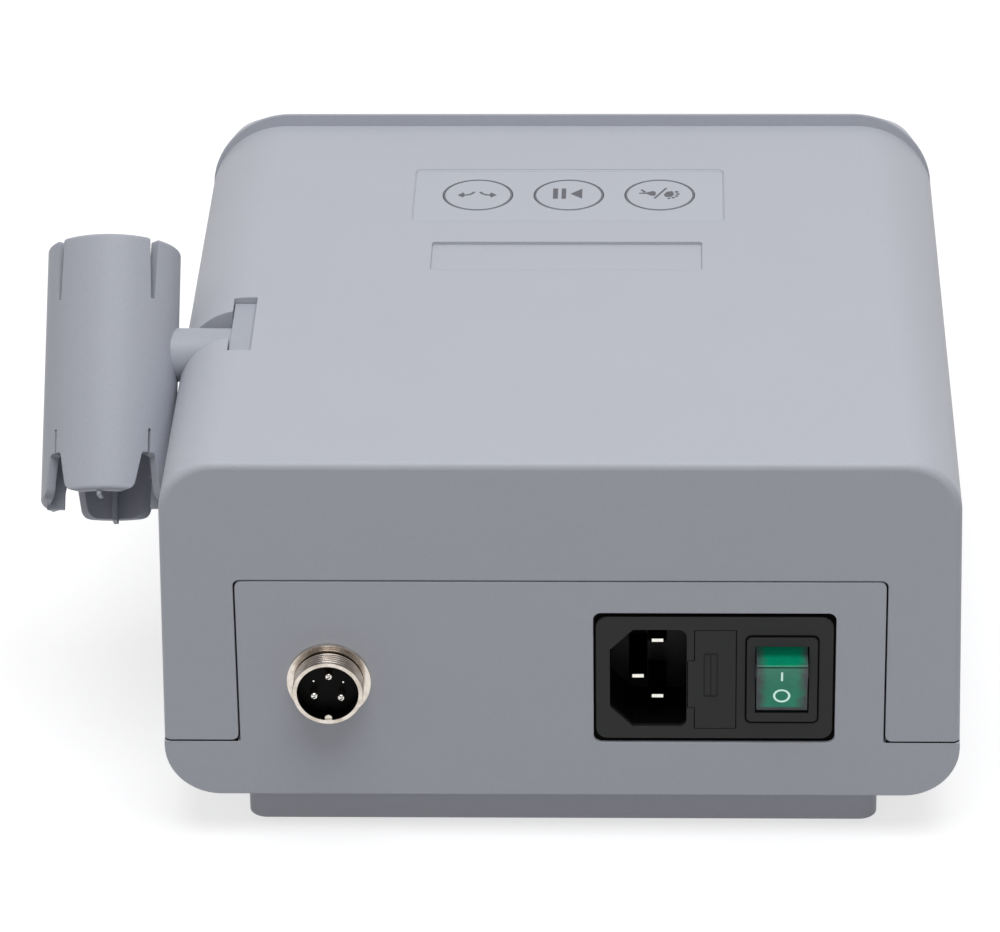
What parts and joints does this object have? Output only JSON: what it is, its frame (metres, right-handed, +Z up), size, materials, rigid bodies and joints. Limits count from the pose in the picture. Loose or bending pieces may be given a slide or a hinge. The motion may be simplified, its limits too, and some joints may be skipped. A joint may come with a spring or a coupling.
{
  "type": "dental laboratory micromotor control unit",
  "caption": "Benchtop control unit for a laboratory micromotor: plastic case with speed knob, display, keypad, tilted handpiece cradle, pedal socket and switched, fused mains inlet.",
  "frame": {"origin": "on the bench, under the middle of the plinth on which the unit stands", "axes": "+Z up; +Y towards the rear with the mains inlet; -Y towards the front with the speed knob; +X towards the side that carries the handpiece cradle"},
  "size_m": [0.2023, 0.1976, 0.1127],
  "materials": {
    "case_grey": "fine satin texture",
    "black_plastic": "satin",
    "green_plastic": "translucent, polished",
    "window": "polished, dark",
    "panel": "fine satin texture",
    "keypad": "satin film",
    "knob": "satin",
    "nickel": "plated, slightly brushed",
    "steel": "zinc plated",
    "brass": "plated",
    "rubber": "matt",
    "circuit_board": "lacquered",
    "aluminium": "extruded",
    "winding": "taped winding",
    "ferrite": "sintered",
    "capacitor": "sleeved",
    "ceramic": "dipped",
    "header_white": "moulded",
    "glass": "clear",
    "lead_grey": "insulation",
    "lead_brown": "insulation"
  },
  "bodies": {
    "case": {"top_cover": "case_grey", "base_shell": "case_grey", "front_bezel": "case_grey", "rubber_feet": "rubber", "front_panel": "panel", "display_window": "window", "control_board": "circuit_board", "display_module": "black_plastic", "keypad_panel": "keypad", "keypad_board": "circuit_board", "tact_switches": "black_plastic", "pedal_socket_shell": "nickel", "pedal_socket_insulator": "black_plastic", "pedal_socket_pins": "brass", "pedal_socket_nut": "nickel", "handpiece_socket_shell": "nickel", "handpiece_socket_insulator": "black_plastic", "handpiece_socket_pins": "brass", "handpiece_socket_nut": "nickel", "mains_module_body": "black_plastic", "inlet_blades": "brass", "switch_frame": "black_plastic", "switch_terminals": "brass", "potentiometer_body": "steel", "potentiometer_nut": "steel", "power_board": "circuit_board", "power_transformer": "winding", "input_choke": "ferrite", "bulk_capacitor": "capacitor", "filter_capacitors": "ceramic", "mains_header": "header_white", "driver_board": "circuit_board", "heat_sink": "aluminium", "drive_transistors": "black_plastic", "board_headers": "header_white", "mains_harness": "lead_brown", "dc_harness": "lead_grey", "panel_harness": "lead_grey", "keypad_harness": "lead_grey", "pedal_harness": "lead_grey", "motor_harness": "lead_grey", "case_screws": "steel", "board_screws": "steel", "control_board_screws": "steel", "bezel_screws": "steel", "keypad_board_screws": "steel"},
    "cradle": {"handpiece_cradle": "case_grey"},
    "direction_key": {"key_direction": "keypad"},
    "run_pause_key": {"key_run_pause": "keypad"},
    "hand_foot_key": {"key_hand_foot": "keypad"},
    "rocker": {"rocker": "green_plastic"},
    "speed_control": {"speed_knob": "knob", "potentiometer_shaft": "steel"},
    "fuse_carrier": {"fuse_drawer": "black_plastic", "fuses": "glass"}
  },
  "joints": [
    {"name": "cradle_lift", "type": "slide", "parent": "case", "child": "cradle", "axis": [0, 0, 1], "range_m": [0, 0.02]},
    {"name": "direction_key_press", "type": "slide", "parent": "case", "child": "direction_key", "axis": [0, 0, -1], "range_m": [0, 0.0005], "stiffness_N_per_m": 1500, "springref_m": -0.0002},
    {"name": "run_pause_key_press", "type": "slide", "parent": "case", "child": "run_pause_key", "axis": [0, 0, -1], "range_m": [0, 0.0005], "stiffness_N_per_m": 1500, "springref_m": -0.0002},
    {"name": "hand_foot_key_press", "type": "slide", "parent": "case", "child": "hand_foot_key", "axis": [0, 0, -1], "range_m": [0, 0.0005], "stiffness_N_per_m": 1500, "springref_m": -0.0002},
    {"name": "power_rocker", "type": "hinge", "parent": "case", "child": "rocker", "pos_m": [-0.0478, 0.08065, 0.0407], "axis": [1, 0, 0], "range_deg": [0, 30]},
    {"name": "speed_turn", "type": "hinge", "parent": "case", "child": "speed_control", "pos_m": [0.047, -0.09085, 0.061], "axis": [0, 1, 0], "range_deg": [0, 280]},
    {"name": "fuse_drawer_slide", "type": "slide", "parent": "case", "child": "fuse_carrier", "axis": [0, 1, 0], "range_m": [0, 0.019]}
  ]
}
